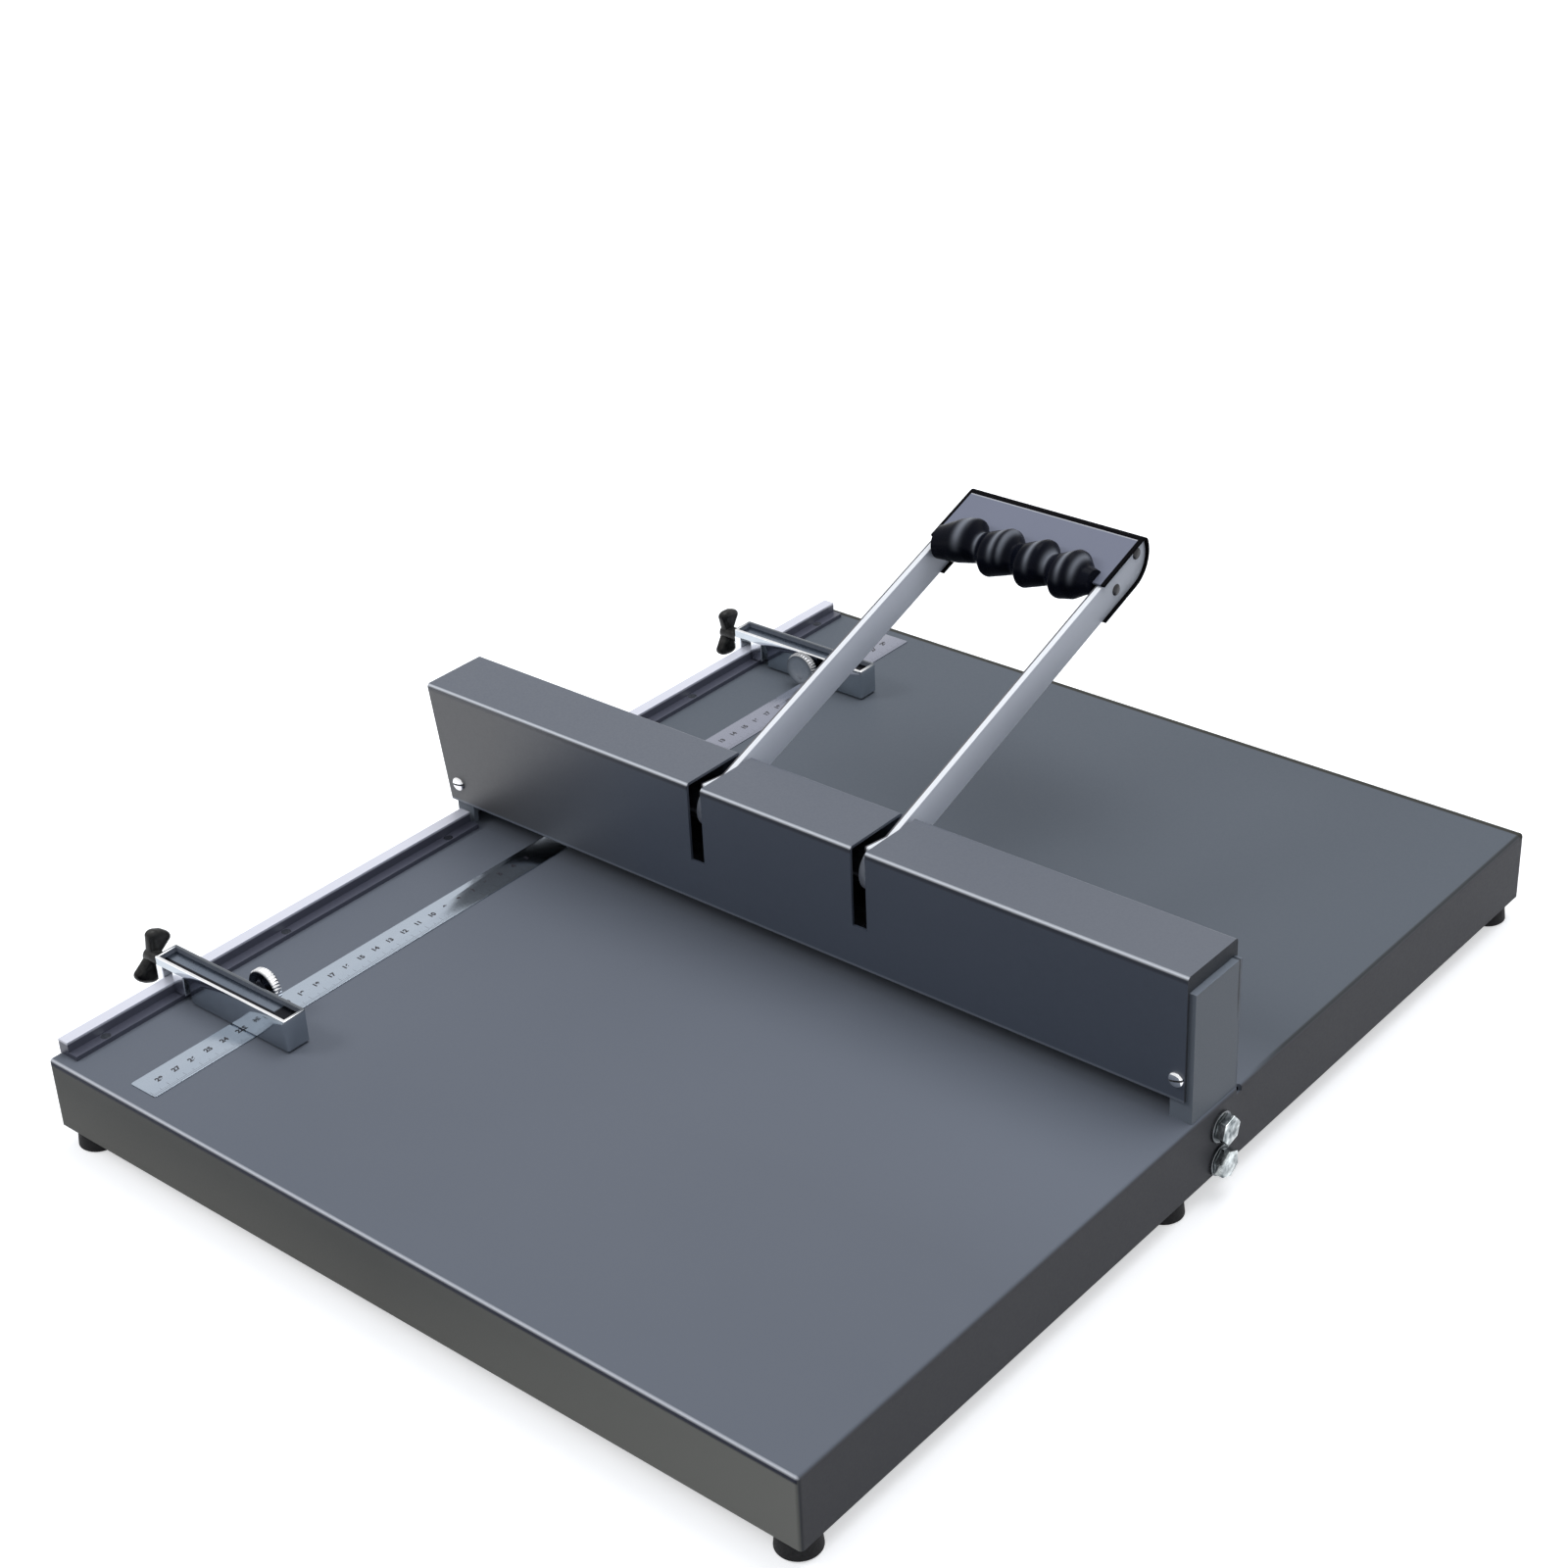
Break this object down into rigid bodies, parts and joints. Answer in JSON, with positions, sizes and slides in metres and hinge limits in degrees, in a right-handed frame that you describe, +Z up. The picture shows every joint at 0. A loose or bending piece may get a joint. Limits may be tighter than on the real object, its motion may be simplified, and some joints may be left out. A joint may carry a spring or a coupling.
{
  "type": "paper creasing machine",
  "caption": "Desktop paper creaser: a two-arm hand lever presses a blade on the sheet over a grooved bar, with sliding stops on a side rail and centimetre rules.",
  "frame": {"origin": "on the surface the machine stands on, under the middle of the bridge and of the overall width", "axes": "+X along the crease to the operator's right, +Y away from the operator, +Z up"},
  "size_m": [0.4988, 0.603, 0.2046],
  "materials": {
    "table_paint": "satin",
    "cover_paint": "satin",
    "upright_paint": "satin",
    "arm_paint": "satin",
    "head_paint": "satin",
    "grip_plastic": "satin",
    "knob_plastic": "satin",
    "foot_rubber": "matte",
    "rail_aluminium": "mill finish",
    "stop_plate": "polished",
    "rule_steel": "brushed",
    "zinc_steel": "zinc plated",
    "bright_screw": "polished",
    "dark_rivet": "oiled",
    "ground_steel": "ground",
    "beam_steel": "satin",
    "bearing_bronze": "sintered",
    "spring_steel": "drawn wire"
  },
  "bodies": {
    "frame": {"table_tray": "table_paint", "bridge_cover": "cover_paint", "left_upright": "upright_paint", "right_upright": "upright_paint", "front_left_foot": "foot_rubber", "front_right_foot": "foot_rubber", "middle_left_foot": "foot_rubber", "middle_right_foot": "foot_rubber", "rear_left_foot": "foot_rubber", "rear_right_foot": "foot_rubber", "front_rail": "rail_aluminium", "rear_rail": "rail_aluminium", "front_rule": "rule_steel", "rear_rule": "rule_steel", "upright_bolts": "zinc_steel", "upright_washers": "zinc_steel", "foot_screws": "zinc_steel", "foot_nuts": "zinc_steel", "anvil_screws": "zinc_steel", "rail_screws": "zinc_steel", "cover_screws": "bright_screw", "lower_anvil": "ground_steel", "bed_beam": "beam_steel", "left_bearing": "bearing_bronze", "right_bearing": "bearing_bronze", "left_return_spring": "spring_steel", "right_return_spring": "spring_steel"},
    "handle": {"cross_shaft": "ground_steel", "left_arm": "arm_paint", "right_arm": "arm_paint", "left_cam": "ground_steel", "right_cam": "ground_steel", "shaft_collars": "ground_steel", "roll_pins": "zinc_steel", "handle_head": "head_paint", "finger_grip": "grip_plastic", "head_rivets": "dark_rivet"},
    "press": {"press_beam": "beam_steel", "creasing_blade": "ground_steel", "blade_clamp": "ground_steel", "clamp_screws": "zinc_steel", "cam_pads": "ground_steel", "left_guide_block": "beam_steel", "right_guide_block": "beam_steel", "guide_screws": "zinc_steel"},
    "front_stop": {"front_stop_bar": "stop_plate", "front_outer_jaw": "rail_aluminium", "front_inner_jaw": "rail_aluminium"},
    "front_wing": {"front_wing_knob": "knob_plastic", "front_wing_stud": "zinc_steel"},
    "front_thumb": {"front_thumb_screw": "bright_screw"},
    "rear_stop": {"rear_stop_bar": "stop_plate", "rear_outer_jaw": "rail_aluminium", "rear_inner_jaw": "rail_aluminium"},
    "rear_wing": {"rear_wing_knob": "knob_plastic", "rear_wing_stud": "zinc_steel"},
    "rear_thumb": {"rear_thumb_screw": "bright_screw"}
  },
  "joints": [
    {"name": "handle_swing", "type": "hinge", "parent": "frame", "child": "handle", "pos_m": [0, 0, 0.109], "axis": [1, 0, 0], "range_deg": [0, 150]},
    {"name": "press_slide", "type": "slide", "parent": "frame", "child": "press", "axis": [0, 0, -1], "range_m": [0, 0.0058], "stiffness_N_per_m": 15200, "springref_m": -0.002, "deforming": ["left_return_spring", "right_return_spring"]},
    {"name": "front_stop_slide", "type": "slide", "parent": "frame", "child": "front_stop", "axis": [0, 1, 0], "range_m": [-0.065, 0.175]},
    {"name": "front_wing_turn", "type": "hinge", "parent": "front_stop", "child": "front_wing", "pos_m": [-0.244, -0.222, 0.062], "axis": [-1, 0, 0], "range_deg": [0, 180]},
    {"name": "front_thumb_turn", "type": "hinge", "parent": "front_stop", "child": "front_thumb", "pos_m": [-0.1753, -0.222, 0.0635], "axis": [0, 1, 0], "range_deg": [-180, 180]},
    {"name": "rear_stop_slide", "type": "slide", "parent": "frame", "child": "rear_stop", "axis": [0, 1, 0], "range_m": [-0.175, 0.065]},
    {"name": "rear_wing_turn", "type": "hinge", "parent": "rear_stop", "child": "rear_wing", "pos_m": [-0.244, 0.222, 0.062], "axis": [-1, 0, 0], "range_deg": [0, 180]},
    {"name": "rear_thumb_turn", "type": "hinge", "parent": "rear_stop", "child": "rear_thumb", "pos_m": [-0.1753, 0.222, 0.0635], "axis": [0, 1, 0], "range_deg": [-180, 180]}
  ],
  "couplings": [
    {"joint": "press_slide", "follows": "handle_swing", "m_per_rad": 0.0022154}
  ]
}
